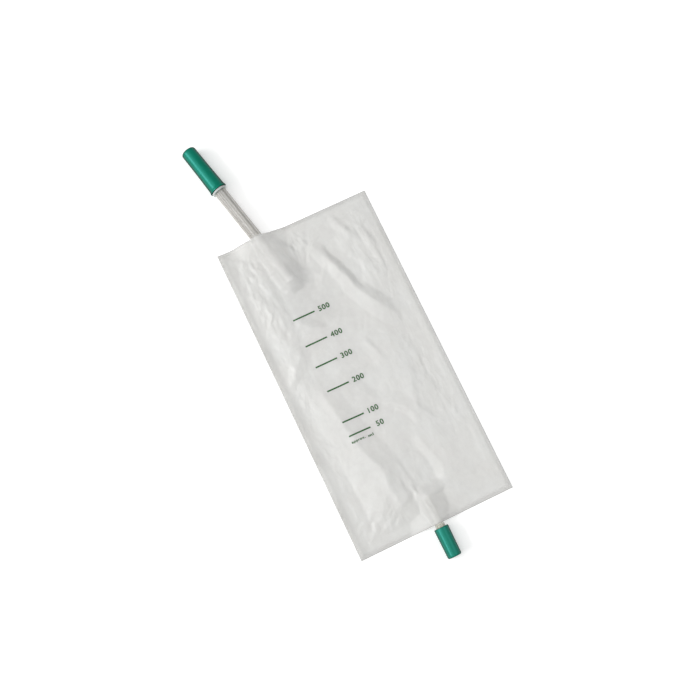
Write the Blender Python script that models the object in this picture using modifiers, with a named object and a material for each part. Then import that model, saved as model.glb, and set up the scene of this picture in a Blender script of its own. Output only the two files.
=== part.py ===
# Urine drainage bag with a capped inlet tube and a capped outlet, empty and lying on its back.
# Metres, +Z up. +Y points to the inlet end and +X across the bag, to the right as its scale is read.
# The origin is the centre of the back film's underside, on the surface that the bag lies on.

import math

import bmesh
import bpy
from mathutils import Matrix, Vector

# Bag
BAG_WIDTH = 0.120
BAG_LENGTH = 0.244
FILM_THICKNESS = 0.00025
SEAM_WIDTH = 0.0025
SEAM_SLOPE_REACH = 0.014  # from the seam's inner edge to where the bag has its full billow
BILLOW = 0.0019  # front film above back film where nothing lifts it
CLEARANCE = 0.0003  # between pieces that touch

# Inlet: a tube welded into the top seam near the bag's left edge, leaning towards that edge
INLET_FROM_EDGE = 0.032
INLET_LEAN = math.radians(12.9)
INLET_TUBE_DIAMETER = 0.0090
INLET_TUBE_BORE = 0.0060
INLET_TUBE_INSIDE = 0.038
INLET_TUBE_OUTSIDE = 0.0435

# Catheter connector, pushed into the inlet tube
COLLAR_DIAMETER = 0.0118
COLLAR_THICKNESS = 0.0014
NOZZLE_LENGTH = 0.032
NOZZLE_BASE_DIAMETER = 0.0090
NOZZLE_TIP_DIAMETER = 0.0064
NOZZLE_STEPS = 4
NOZZLE_STEP_DEPTH = 0.0004
SPIGOT_LENGTH = 0.014
SPIGOT_TAPER = 0.0003  # off the radius at the spigot's inner end
CONNECTOR_BORE = 0.0036

# Cap over the connector's nozzle
INLET_CAP_LENGTH = 0.038
INLET_CAP_MOUTH_DIAMETER = 0.0122
INLET_CAP_END_DIAMETER = 0.0110
INLET_CAP_LIP_DIAMETER = 0.0134
INLET_CAP_LIP_HEIGHT = 0.0007
INLET_CAP_FLARE_HEIGHT = 0.0032
INLET_CAP_END_ROUND = 0.0016

# Non-return valve: two leaves of film, welded along their sides round the tube's inner end
VALVE_WIDTH = 0.026
VALVE_LENGTH = 0.054
VALVE_OVER_TUBE = 0.010
VALVE_FILM_THICKNESS = 0.00015
VALVE_OPENING = 0.0004  # leaves apart at the middle, beyond the tube
VALVE_RUNS_ON = 0.0035  # past the tube's inner end before the front leaf starts to come down
VALVE_CLOSES_IN = 0.010
VALVE_WELD = 0.0025

# Outlet: a short tube welded into the bottom seam
OUTLET_OFFSET = 0.0006
OUTLET_TUBE_DIAMETER = 0.0070
OUTLET_TUBE_BORE = 0.0050
OUTLET_TUBE_INSIDE = 0.020
OUTLET_TUBE_SHOWN = 0.0030
OUTLET_TUBE_IN_CAP = 0.0170

# Cap over the outlet tube
OUTLET_CAP_LENGTH = 0.0224
OUTLET_CAP_MOUTH_DIAMETER = 0.0108
OUTLET_CAP_END_DIAMETER = 0.0098
OUTLET_CAP_END_ROUND = 0.0009
OUTLET_CAP_MOUTH_ROUND = 0.0005

# How the films wrap a welded tube
WRAP_ANGLE = math.radians(60)  # from the tube's crown to where the film leaves it, in the seam
DRAPE_ANGLE = math.radians(44)  # the same, inside the bag
DRAPE_RUNS_ON = 0.0075  # past the tube's inner end before the film starts to come down
FIN_SPREAD = 0.017  # the seam comes down to the surface over this width beside a tube
SEAM_LIFT_REACH = 0.020  # and over this length into the bag
INLET_DRAPE_TAPER = 0.012
OUTLET_DRAPE_TAPER = 0.016

# Folds of the front film: points of a curve in half widths and half lengths of the bag, then the height,
# the width on the curve's left and the width on its right, each at the curve's start and at its end.
# A fold with a negative height is a groove.
FOLDS = (
    (
        ((0.80, 0.16), (0.55, 0.33), (0.37, 0.48), (0.30, 0.60), (0.20, 0.72), (0.07, 0.85)),
        (0.0037, 0.0037), (0.0120, 0.0080), (0.0050, 0.0060),
    ),
    (
        ((0.50, 0.41), (0.43, 0.55), (0.35, 0.69), (0.20, 0.83)),
        (-0.0021, -0.0021), (0.0050, 0.0050), (0.0090, 0.0090),
    ),
    (
        ((-0.20, -0.97), (-0.30, -0.74), (-0.36, -0.54), (-0.50, -0.28), (-0.53, 0.0), (-0.55, 0.13)),
        (0.0059, 0.0032), (0.0220, 0.0130), (0.0140, 0.0050),
    ),
    (
        ((-0.72, -0.97), (-0.70, -0.66), (-0.70, -0.36)),
        (-0.0013, -0.0013), (0.0080, 0.0080), (0.0040, 0.0040),
    ),
    (
        ((-0.55, 0.18), (-0.57, 0.41), (-0.58, 0.69), (-0.63, 0.93)),
        (0.0018, 0.0018), (0.0170, 0.0170), (0.0050, 0.0050),
    ),
    (
        ((-0.93, 0.07), (-0.73, 0.16), (-0.50, 0.27)),
        (0.0014, 0.0014), (0.0055, 0.0055), (0.0060, 0.0060),
    ),
    (
        ((-0.13, 0.30), (-0.30, 0.35), (-0.52, 0.44)),
        (0.0014, 0.0014), (0.0100, 0.0100), (0.0060, 0.0060),
    ),
    (
        ((-0.03, -0.89), (-0.05, -0.74), (-0.12, -0.54), (-0.20, -0.43)),
        (0.0022, 0.0022), (0.0050, 0.0050), (0.0130, 0.0130),
    ),
    (
        ((0.15, -0.87), (0.25, -0.70), (0.20, -0.56), (0.07, -0.43)),
        (-0.0016, -0.0016), (0.0130, 0.0130), (0.0060, 0.0060),
    ),
    (
        ((0.37, -0.44), (0.33, -0.34), (0.22, -0.26), (0.03, -0.22)),
        (0.0019, 0.0019), (0.0060, 0.0060), (0.0045, 0.0045),
    ),
    (
        ((0.83, -0.90), (0.50, -0.80), (0.20, -0.73)),
        (0.0011, 0.0011), (0.0120, 0.0120), (0.0100, 0.0100),
    ),
    (
        ((0.63, 0.72), (0.55, 0.84), (0.43, 0.95)),
        (0.0014, 0.0014), (0.0070, 0.0070), (0.0050, 0.0050),
    ),
)
FOLD_FADE = 0.25  # of a fold's length, at each end
PACKING_CREASE = 0.66  # the bag was packed folded in three, so two creases run its whole length
CREASE_DEPTH = 0.0006
CREASE_WIDTH = 0.0075

# Printed scale
SCALE_LEFT = -0.0302
SCALE_BAR_LENGTH = 0.0172
SCALE_BAR_WIDTH = 0.0009
SCALE_BARS = (0.0544, 0.0332, 0.0162, -0.0033, -0.0283, -0.0394)

# Mesh density
SIDES = 32
WRAP_STEPS = 3
ROW_SPACING = 0.0048
FLAT_ROW_STRIDE = 4
LEFT_COLUMNS = 5
RIGHT_COLUMNS = 9
CURVE_ROUNDS = 2

# Worked out from the sizes above
HALF_WIDTH = BAG_WIDTH / 2
HALF_LENGTH = BAG_LENGTH / 2
INLET_OFFSET = INLET_FROM_EDGE - HALF_WIDTH
INLET_RADIUS = INLET_TUBE_DIAMETER / 2
OUTLET_RADIUS = OUTLET_TUBE_DIAMETER / 2
VALVE_STACK = 2 * (VALVE_FILM_THICKNESS + CLEARANCE) + VALVE_OPENING
INLET_INNER_HEIGHT = FILM_THICKNESS + CLEARANCE + VALVE_FILM_THICKNESS + CLEARANCE + INLET_RADIUS
INLET_MOUTH_HEIGHT = max(INLET_CAP_LIP_DIAMETER, COLLAR_DIAMETER, INLET_CAP_MOUTH_DIAMETER) / 2
INLET_SLOPE = (INLET_MOUTH_HEIGHT - INLET_INNER_HEIGHT) / (INLET_TUBE_INSIDE + INLET_TUBE_OUTSIDE)
OUTLET_HEIGHT = max(OUTLET_CAP_MOUTH_DIAMETER, OUTLET_CAP_END_DIAMETER) / 2
OUTLET_INNER_END = -HALF_LENGTH + OUTLET_TUBE_INSIDE
STEEPEST_FIN = 1.5 * max(INLET_MOUTH_HEIGHT, OUTLET_HEIGHT) / FIN_SPREAD
WELD_GAP = CLEARANCE * math.hypot(1, STEEPEST_FIN)
FACET_REACH = 1 / math.cos(WRAP_ANGLE / WRAP_STEPS / 2)  # corners this much further out, so flats stay clear


def eased(share):
    """0 to 1 with no corner at either end, held outside that range."""
    share = min(1.0, max(0.0, share))
    return share * share * (3 - 2 * share)


def mixed(a, b, share):
    return a + (b - a) * share


def keep(piece):
    """Puts an object in the collection that holds the whole part."""
    parts = bpy.data.collections.get("urine_drainage_bag")
    if parts is None:
        parts = bpy.data.collections.new("urine_drainage_bag")
        bpy.context.scene.collection.children.link(parts)
    for holder in list(piece.users_collection):
        holder.objects.unlink(piece)
    parts.objects.link(piece)
    return piece


def new_material(name, colour, roughness, alpha=1.0):
    material = bpy.data.materials.new(name)
    material.use_nodes = True
    shader = material.node_tree.nodes["Principled BSDF"]
    shader.inputs["Base Color"].default_value = (*colour, 1.0)
    shader.inputs["Roughness"].default_value = roughness
    shader.inputs["Metallic"].default_value = 0.0
    shader.inputs["Alpha"].default_value = alpha
    material.diffuse_color = (*colour, alpha)
    return material


# Inlet and outlet axes, as distances along and across each tube


def along_inlet(x, y):
    """(distance out of the bag from the top edge, distance to the right) of a point, by the inlet's axis."""
    across_bag = x - INLET_OFFSET
    past_edge = y - HALF_LENGTH
    out = past_edge * math.cos(INLET_LEAN) - across_bag * math.sin(INLET_LEAN)
    right = across_bag * math.cos(INLET_LEAN) + past_edge * math.sin(INLET_LEAN)
    return out, right


def inlet_height(out):
    return INLET_INNER_HEIGHT + (out + INLET_TUBE_INSIDE) * INLET_SLOPE


def along_outlet(x, y):
    return -HALF_LENGTH - y, x - OUTLET_OFFSET


def spine(y):
    """Where the films' middle column runs: over the inlet tube, then in a smooth bend to the outlet."""
    inner_end = HALF_LENGTH - INLET_TUBE_INSIDE * math.cos(INLET_LEAN)
    if y >= inner_end:
        return INLET_OFFSET + (HALF_LENGTH - y) * math.tan(INLET_LEAN)
    at_inner_end = INLET_OFFSET + (HALF_LENGTH - inner_end) * math.tan(INLET_LEAN)
    run = inner_end - OUTLET_INNER_END
    share = min(1.0, (inner_end - y) / run)
    drift = run * math.tan(INLET_LEAN) * share * (1 - share) ** 2
    return mixed(at_inner_end, OUTLET_OFFSET, eased(share)) + drift


# Film surfaces


def draped(across, height, clear_radius, angle):
    """A film laid over a tube: round its crown as far as the angle, then straight down."""
    across = abs(across)
    radius = clear_radius * FACET_REACH
    leaves_at = radius * math.sin(angle)
    if across <= leaves_at:
        return height + math.sqrt(radius * radius - across * across)
    return height + radius * math.cos(angle) - (across - leaves_at) * math.tan(angle)


def seam_plane(across, height, radius):
    """Height of the weld beside a tube: level with the tube's axis, then down to the surface."""
    flat = FILM_THICKNESS + WELD_GAP / 2
    fin_starts = radius * FACET_REACH / math.sin(WRAP_ANGLE)
    return mixed(height, flat, eased((abs(across) - fin_starts) / FIN_SPREAD))


def at_tube(out, across, height, radius, inside, taper, packing):
    """(inner face of the back film, least inner face of the front film, weld height) near a tube."""
    welded = 1 - eased(-out / SEAM_LIFT_REACH)
    tight = radius + CLEARANCE
    plane = seam_plane(across, height, tight)
    wrap = draped(across, height, tight, WRAP_ANGLE)
    under = min(2 * height - wrap, plane - WELD_GAP / 2)
    back = mixed(FILM_THICKNESS, max(under, FILM_THICKNESS), welded)
    low = mixed(FILM_THICKNESS + WELD_GAP, plane + WELD_GAP / 2, welded)
    loose = tight + packing * (1 - welded)
    angle = mixed(DRAPE_ANGLE, WRAP_ANGLE, welded)
    over = draped(across, height, loose, angle)
    held = eased(1 + (out + inside + DRAPE_RUNS_ON) / taper)
    front = mixed(FILM_THICKNESS, over, held)
    return back, front, low


def fold_curve(points):
    """The middle line of a fold in the bag's plane, through its points, with the corners cut off."""
    line = [Vector((u * HALF_WIDTH, v * HALF_LENGTH)) for u, v in points]
    for _ in range(CURVE_ROUNDS):
        cut = [line[0]]
        for near, far in zip(line, line[1:]):
            cut += [near.lerp(far, 0.25), near.lerp(far, 0.75)]
        line = [*cut, line[-1]]
    return line


FOLD_LINES = [(fold_curve(points), *sizes) for points, *sizes in FOLDS]


def fold_height(x, y, line, heights, left_widths, right_widths):
    """A ridge along the line that falls straight to its foot on each side and dies out at both ends."""
    here = Vector((x, y))
    nearest = None
    for i, (start, end) in enumerate(zip(line, line[1:])):
        run = end - start
        share = min(1.0, max(0.0, (here - start).dot(run) / run.length_squared))
        away = here - start - run * share
        if nearest is None or away.length < nearest[0]:
            side = run.x * away.y - run.y * away.x
            nearest = (away.length, side, (i + share) / (len(line) - 1))
    distance, side, place = nearest
    width = mixed(*(left_widths if side > 0 else right_widths), place)
    ends = eased(min(place, 1 - place) / FOLD_FADE)
    return mixed(*heights, place) * ends * max(0.0, 1 - distance / width)


def crease_height(x):
    """The two packing creases: a sharp valley with slopes that level out."""
    away = abs(abs(x) - PACKING_CREASE * HALF_WIDTH)
    return -CREASE_DEPTH * math.exp(-away / CREASE_WIDTH)


def film_faces(x, y):
    """Heights of the back film's and the front film's inner faces at a point."""
    from_sides = eased((HALF_WIDTH - SEAM_WIDTH - abs(x)) / SEAM_SLOPE_REACH)
    from_ends = eased((HALF_LENGTH - SEAM_WIDTH - abs(y)) / SEAM_SLOPE_REACH)
    relief = BILLOW + crease_height(x)
    for line, *sizes in FOLD_LINES:
        relief += fold_height(x, y, line, *sizes)
    loft = from_sides * from_ends * max(relief, VALVE_STACK + CLEARANCE)
    out, across = along_inlet(x, y)
    inlet = at_tube(
        out, across, inlet_height(out), INLET_RADIUS, INLET_TUBE_INSIDE, INLET_DRAPE_TAPER,
        VALVE_FILM_THICKNESS + CLEARANCE,
    )
    out, across = along_outlet(x, y)
    outlet = at_tube(
        out, across, OUTLET_HEIGHT, OUTLET_RADIUS, OUTLET_TUBE_INSIDE, OUTLET_DRAPE_TAPER, 0.0
    )
    back = max(inlet[0], outlet[0])
    front = max(inlet[1], outlet[1], max(inlet[2], outlet[2]) + loft)
    return back, front


def row_places():
    """Lengthwise places of the front film's rows, with rows of their own for the end seams."""
    inner = HALF_LENGTH - SEAM_WIDTH
    count = max(8, round(2 * inner / ROW_SPACING))
    return [-HALF_LENGTH, *(mixed(-inner, inner, i / count) for i in range(count + 1)), HALF_LENGTH]


def back_row_places():
    """The same rows where the back film rises to a tube, and only some of them where it lies flat."""
    rows = row_places()
    reach = (SEAM_LIFT_REACH + FIN_SPREAD * math.sin(INLET_LEAN)) / math.cos(INLET_LEAN)
    rises = HALF_LENGTH - reach - ROW_SPACING
    return [y for i, y in enumerate(rows) if abs(y) > rises or i % FLAT_ROW_STRIDE == 0]


def wrap_places(clear_radius):
    """Crosswise places of the corners of a film over a tube, from its crown to where it leaves the tube."""
    radius = clear_radius * FACET_REACH
    turns = [WRAP_ANGLE * i / WRAP_STEPS for i in range(1, WRAP_STEPS + 1)]
    return [*(radius * math.sin(turn) for turn in turns), radius / math.sin(WRAP_ANGLE)]


def column_places(y):
    """Crosswise places of the films' columns in one row, close together where a tube passes."""
    middle = spine(y)
    share = eased((y + HALF_LENGTH) / BAG_LENGTH)
    radius = mixed(OUTLET_RADIUS + CLEARANCE, (INLET_RADIUS + CLEARANCE) / math.cos(INLET_LEAN), share)
    near = [*wrap_places(radius), 1.9 * radius, 2.9 * radius]
    places = [middle]
    for side, edge, count in ((-1, -HALF_WIDTH, LEFT_COLUMNS), (1, HALF_WIDTH, RIGHT_COLUMNS)):
        last = middle + side * near[-1]
        seam = edge - side * SEAM_WIDTH
        places += [middle + side * reach for reach in near]
        places += [mixed(last, seam, i / count) for i in range(1, count + 1)]
        places.append(edge)
    return sorted(places)


def cut_scale_bar(mesh, low, high):
    """Splits the flat film along a bar's outline, only in the faces that the bar touches."""
    for axis in (0, 1):
        for place in (low[axis], high[axis]):
            touched = [
                face
                for face in mesh.faces
                if all(
                    min(v.co[i] for v in face.verts) < high[i] and max(v.co[i] for v in face.verts) > low[i]
                    for i in (0, 1)
                )
            ]
            edges = {edge for face in touched for edge in face.edges}
            corners = {corner for face in touched for corner in face.verts}
            at, normal = Vector(), Vector()
            at[axis] = place
            normal[axis] = 1
            bmesh.ops.bisect_plane(
                mesh, geom=[*touched, *edges, *corners], dist=1e-7, plane_co=at, plane_no=normal
            )


def new_film(name, rows, columns, face_height, grows, thickness, materials, bars=()):
    """A sheet of film: a flat grid laid out by rows and columns, raised to its inner face, then thickened."""
    bpy.ops.mesh.primitive_grid_add(x_subdivisions=len(columns(0)) - 1, y_subdivisions=len(rows) - 1, size=2)
    film = keep(bpy.context.object)
    film.name = film.data.name = name
    mesh = bmesh.new()
    mesh.from_mesh(film.data)
    last_row = len(rows) - 1
    last_column = len(columns(0)) - 1
    for corner in mesh.verts:
        y = rows[round((corner.co.y + 1) / 2 * last_row)]
        x = columns(y)[round((corner.co.x + 1) / 2 * last_column)]
        corner.co = (x, y, 0)
    for low, high in bars:
        cut_scale_bar(mesh, low, high)
    for face in mesh.faces:
        centre = face.calc_center_median()
        printed = any(low[0] < centre.x < high[0] and low[1] < centre.y < high[1] for low, high in bars)
        face.material_index = 1 if printed else 0
    bmesh.ops.triangulate(mesh, faces=mesh.faces[:])
    for corner in mesh.verts:
        corner.co.z = face_height(corner.co.x, corner.co.y)
    mesh.to_mesh(film.data)
    mesh.free()
    for material in materials:
        film.data.materials.append(material)
    film.data.shade_smooth()
    thicken = film.modifiers.new("film thickness", "SOLIDIFY")
    thicken.thickness = thickness
    thicken.offset = grows
    return film


# Turned pieces


def new_turned(name, profile, material, holder, place):
    """A piece turned about its own Z axis from a closed profile of (radius, height), clockwise."""
    data = bpy.data.meshes.new(name)
    points = [(radius, 0, height) for radius, height in profile]
    edges = [(i, i + 1) for i in range(len(points) - 1)]
    if profile[0][0] > 0:
        edges.append((len(points) - 1, 0))
    data.from_pydata(points, edges, [])
    data.materials.append(material)
    piece = keep(bpy.data.objects.new(name, data))
    piece.parent = holder
    piece.location = (0, 0, place)
    turn = piece.modifiers.new("turned", "SCREW")
    turn.angle = 2 * math.pi
    turn.steps = turn.render_steps = SIDES
    turn.use_merge_vertices = True
    turn.merge_threshold = 0.00001
    turn.use_smooth_shade = True
    return piece


def quarter_round(radius, height, size, first, steps=4):
    """Points of a quarter circle about (radius, height), from the first angle down through 90 degrees."""
    turns = [math.radians(first - 90 * i / steps) for i in range(steps + 1)]
    return [(radius + size * math.cos(turn), height + size * math.sin(turn)) for turn in turns]


def tube_profile(diameter, bore, low, high):
    return [(diameter / 2, high), (diameter / 2, low), (bore / 2, low), (bore / 2, high)]


def nozzle_radius(height):
    """The cone that the nozzle's ridges reach, and that the cap's bore follows."""
    share = height / NOZZLE_LENGTH
    return mixed(NOZZLE_BASE_DIAMETER, NOZZLE_TIP_DIAMETER, share) / 2


def connector_profile():
    """Stepped nozzle above the collar, spigot below it, one bore through both."""
    bore = CONNECTOR_BORE / 2
    spigot = INLET_TUBE_BORE / 2 - CLEARANCE
    step = NOZZLE_LENGTH / NOZZLE_STEPS
    profile = [(bore, NOZZLE_LENGTH), (nozzle_radius(NOZZLE_LENGTH) - NOZZLE_STEP_DEPTH, NOZZLE_LENGTH)]
    for i in reversed(range(NOZZLE_STEPS)):
        low, high = i * step, (i + 1) * step
        profile.append((nozzle_radius(high - 0.25 * step), high - 0.25 * step))
        profile.append((nozzle_radius(low + 0.4 * step), low + 0.4 * step))
        profile.append((nozzle_radius(low) - NOZZLE_STEP_DEPTH, low))
    profile += [
        (COLLAR_DIAMETER / 2, 0),
        (COLLAR_DIAMETER / 2, -COLLAR_THICKNESS),
        (spigot, -COLLAR_THICKNESS),
        (spigot - SPIGOT_TAPER, -COLLAR_THICKNESS - SPIGOT_LENGTH),
        (bore, -COLLAR_THICKNESS - SPIGOT_LENGTH),
    ]
    return profile


def inlet_cap_profile():
    """Closed end above, flared mouth at height 0. The bore follows the nozzle."""
    mouth = INLET_CAP_MOUTH_DIAMETER / 2
    end = INLET_CAP_END_DIAMETER / 2
    lip = INLET_CAP_LIP_DIAMETER / 2
    flare = INLET_CAP_FLARE_HEIGHT - INLET_CAP_LIP_HEIGHT
    profile = [(0, INLET_CAP_LENGTH)]
    profile += quarter_round(
        end - INLET_CAP_END_ROUND, INLET_CAP_LENGTH - INLET_CAP_END_ROUND, INLET_CAP_END_ROUND, 90
    )
    for share in (1.0, 0.6, 0.25, 0.0):
        profile.append((mouth + (lip - mouth) * (1 - share) ** 2, INLET_CAP_LIP_HEIGHT + flare * share))
    profile += [
        (lip, 0),
        (nozzle_radius(0) + CLEARANCE + 0.0003, 0),
        (nozzle_radius(0) + CLEARANCE, 0.0006),
        (nozzle_radius(NOZZLE_LENGTH) + CLEARANCE, NOZZLE_LENGTH),
        (nozzle_radius(NOZZLE_LENGTH) + CLEARANCE, NOZZLE_LENGTH + CLEARANCE),
        (0, NOZZLE_LENGTH + CLEARANCE),
    ]
    return profile


def outlet_cap_profile():
    """Closed end above, rounded mouth at height 0, with a straight bore for the tube."""
    mouth = OUTLET_CAP_MOUTH_DIAMETER / 2
    end = OUTLET_CAP_END_DIAMETER / 2
    bore = OUTLET_RADIUS + CLEARANCE
    bore_depth = OUTLET_TUBE_IN_CAP + CLEARANCE
    profile = [(0, OUTLET_CAP_LENGTH)]
    profile += quarter_round(
        end - OUTLET_CAP_END_ROUND, OUTLET_CAP_LENGTH - OUTLET_CAP_END_ROUND, OUTLET_CAP_END_ROUND, 90
    )
    profile += quarter_round(
        mouth - OUTLET_CAP_MOUTH_ROUND, OUTLET_CAP_MOUTH_ROUND, OUTLET_CAP_MOUTH_ROUND, 0
    )
    profile += [(bore, 0), (bore, bore_depth), (0, bore_depth)]
    return profile


def new_axis(name, at, towards):
    """An empty whose +Z runs out of the bag along a tube, for the pieces of that tube to sit on."""
    empty = keep(bpy.data.objects.new(name, None))
    empty.matrix_world = Matrix.Translation(at) @ towards.to_track_quat("Z", "Y").to_matrix().to_4x4()
    return empty


def build():
    for old in list(bpy.data.objects):
        bpy.data.objects.remove(old)

    front_pvc = new_material("clear PVC film, front", (0.80, 0.82, 0.81), 0.25, 0.45)
    back_pvc = new_material("clear PVC film, back", (0.78, 0.80, 0.79), 0.28, 0.45)
    ink = new_material("green scale ink", (0.05, 0.22, 0.08), 0.5)
    front_leaf_pvc = new_material("thin PVC film, valve front", (0.82, 0.83, 0.82), 0.25, 0.3)
    back_leaf_pvc = new_material("thin PVC film, valve back", (0.80, 0.81, 0.80), 0.25, 0.3)
    inlet_tube_pvc = new_material("clear PVC tube, inlet", (0.74, 0.73, 0.70), 0.2, 0.6)
    outlet_tube_pvc = new_material("clear PVC tube, outlet", (0.74, 0.73, 0.64), 0.2, 0.6)
    frosted = new_material("natural polypropylene", (0.86, 0.87, 0.86), 0.35, 0.9)
    inlet_cap_pvc = new_material("green soft PVC, inlet cap", (0.0, 0.20, 0.14), 0.35)
    outlet_cap_pvc = new_material("green soft PVC, outlet cap", (0.01, 0.23, 0.17), 0.35)

    # Films
    bars = [
        ((SCALE_LEFT, y - SCALE_BAR_WIDTH / 2), (SCALE_LEFT + SCALE_BAR_LENGTH, y + SCALE_BAR_WIDTH / 2))
        for y in SCALE_BARS
    ]
    new_film(
        "back_film", back_row_places(), column_places, lambda x, y: film_faces(x, y)[0], -1, FILM_THICKNESS,
        [back_pvc],
    )
    new_film(
        "front_film", row_places(), column_places, lambda x, y: film_faces(x, y)[1], 1, FILM_THICKNESS,
        [front_pvc, ink], bars,
    )

    # Valve leaves, laid out along the inlet's axis
    valve_top = -INLET_TUBE_INSIDE + VALVE_OVER_TUBE
    valve_rows = [valve_top - VALVE_LENGTH + VALVE_LENGTH * i / 12 for i in range(13)]
    leaf_reach = [*wrap_places(INLET_RADIUS + CLEARANCE), VALVE_WIDTH / 2 - VALVE_WELD, VALVE_WIDTH / 2]
    leaf_columns = [*(-reach for reach in reversed(leaf_reach)), 0, *leaf_reach]
    back_leaf_height = FILM_THICKNESS + CLEARANCE
    front_leaf_height = back_leaf_height + VALVE_FILM_THICKNESS + CLEARANCE

    def front_leaf(across, out):
        side = 1 - (2 * abs(across) / VALVE_WIDTH) ** 2
        apart = front_leaf_height + VALVE_OPENING * side
        over = draped(across, inlet_height(out), INLET_RADIUS + CLEARANCE, WRAP_ANGLE)
        held = eased(1 + (out + INLET_TUBE_INSIDE + VALVE_RUNS_ON) / VALVE_CLOSES_IN)
        return max(apart, mixed(apart, over, held))

    inlet_plan = keep(bpy.data.objects.new("inlet_plan", None))
    inlet_plan.location = (INLET_OFFSET, HALF_LENGTH, 0)
    inlet_plan.rotation_euler = (0, 0, INLET_LEAN)
    leaves = [
        new_film(
            "valve_back_leaf", valve_rows, lambda y: leaf_columns, lambda x, y: back_leaf_height, 1,
            VALVE_FILM_THICKNESS, [back_leaf_pvc],
        ),
        new_film(
            "valve_front_leaf", valve_rows, lambda y: leaf_columns, front_leaf, 1,
            VALVE_FILM_THICKNESS, [front_leaf_pvc],
        ),
    ]
    for leaf in leaves:
        leaf.parent = inlet_plan

    # Inlet tube, connector and cap
    inlet_way = Vector((-math.sin(INLET_LEAN), math.cos(INLET_LEAN), INLET_SLOPE))
    inlet_axis = new_axis("inlet_axis", Vector((INLET_OFFSET, HALF_LENGTH, inlet_height(0))), inlet_way)
    inlet_ends = (-INLET_TUBE_INSIDE, INLET_TUBE_OUTSIDE)
    new_turned(
        "inlet_tube", tube_profile(INLET_TUBE_DIAMETER, INLET_TUBE_BORE, *inlet_ends), inlet_tube_pvc,
        inlet_axis, 0,
    )
    collar_top = INLET_TUBE_OUTSIDE + CLEARANCE + COLLAR_THICKNESS
    new_turned("inlet_connector", connector_profile(), frosted, inlet_axis, collar_top)
    new_turned("inlet_cap", inlet_cap_profile(), inlet_cap_pvc, inlet_axis, collar_top + CLEARANCE)

    # Outlet tube and cap
    outlet_at = Vector((OUTLET_OFFSET, -HALF_LENGTH, OUTLET_HEIGHT))
    outlet_axis = new_axis("outlet_axis", outlet_at, Vector((0, -1, 0)))
    outlet_ends = (-OUTLET_TUBE_INSIDE, OUTLET_TUBE_SHOWN + OUTLET_TUBE_IN_CAP)
    new_turned(
        "outlet_tube", tube_profile(OUTLET_TUBE_DIAMETER, OUTLET_TUBE_BORE, *outlet_ends), outlet_tube_pvc,
        outlet_axis, 0,
    )
    new_turned("outlet_cap", outlet_cap_profile(), outlet_cap_pvc, outlet_axis, OUTLET_TUBE_SHOWN)


build()
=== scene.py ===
# Urine drainage bag, empty, lying on a pale table and seen from above
# Metres, +Z up, +Y towards the inlet end of the bag
import math

import bmesh
import bpy
import numpy as np
from mathutils import Matrix, Vector, noise
from mathutils.bvhtree import BVHTree


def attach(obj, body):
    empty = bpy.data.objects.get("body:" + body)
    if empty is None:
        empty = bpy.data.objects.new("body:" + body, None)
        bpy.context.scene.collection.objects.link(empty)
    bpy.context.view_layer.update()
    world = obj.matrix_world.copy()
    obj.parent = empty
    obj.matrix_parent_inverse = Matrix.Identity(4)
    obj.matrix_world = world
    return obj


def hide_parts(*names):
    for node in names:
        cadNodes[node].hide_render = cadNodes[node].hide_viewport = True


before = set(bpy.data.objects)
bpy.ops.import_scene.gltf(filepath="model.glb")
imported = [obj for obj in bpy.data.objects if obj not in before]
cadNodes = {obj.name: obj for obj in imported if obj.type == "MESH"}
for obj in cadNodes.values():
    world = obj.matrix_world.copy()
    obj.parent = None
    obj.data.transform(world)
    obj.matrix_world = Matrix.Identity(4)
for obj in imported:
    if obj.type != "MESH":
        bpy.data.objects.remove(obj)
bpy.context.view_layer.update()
mm = 0.001
print("frame loaded:", len(cadNodes), "nodes")


# colours are written as sRGB hex
def toLinear(hexColour, alpha=1.0):
    channels = [int(hexColour[i : i + 2], 16) / 255 for i in (1, 3, 5)]
    return (*[c / 12.92 if c <= 0.04045 else ((c + 0.055) / 1.055) ** 2.4 for c in channels], alpha)


def feed(tree, node, inputs=None, links=None):
    for key, value in (inputs or {}).items():
        node.inputs[key].default_value = value
    for key, source in (links or {}).items():
        # a node by itself stands for its first output
        socket = source.outputs[0] if isinstance(source, bpy.types.Node) else source
        tree.links.new(socket, node.inputs[key])


def addNode(tree, kind, settings=None, inputs=None, links=None):
    node = tree.nodes.new(kind)
    for key, value in (settings or {}).items():
        setattr(node, key, value)
    feed(tree, node, inputs, links)
    return node


def startMaterial(name):
    material = bpy.data.materials.new(name)
    material.use_nodes = True
    tree = material.node_tree
    tree.nodes.clear()
    shader = addNode(tree, "ShaderNodeBsdfPrincipled")
    addNode(tree, "ShaderNodeOutputMaterial", links={"Surface": shader})
    where = addNode(tree, "ShaderNodeTexCoord").outputs["Object"]
    return material, tree, shader, where


# camera and light

cameraView = {
    "place": (-0.08659, -0.10881, 0.83452),
    "look": (0.0999, 0.1492, -0.9837),
    "up": (0.4217, 0.8891, 0.1777),
    "lens": 60.0,
}

studio = {
    "floorColour": "#F3F3F2",
    "floorSize": 6.0,
    "floorGlow": (0.3, 1.0),
    "glowReach": (0.6, 1.8),
    "worldColour": "#F7F8FA",
    "worldStrength": 0.29,
    "keyPlace": (-0.75, 0.15, 1.45),
    "keySize": (1.4, 1.4),
    "keyPower": 10.6,
    "stripPlace": (-1.70, 0.27, 1.17),
    "stripSize": (1.60, 0.34),
    "stripPower": 24.5,
    "fillPlace": (0.60, -0.10, 0.90),
    "fillSize": (0.8, 0.8),
    "fillPower": 3.0,
}


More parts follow.
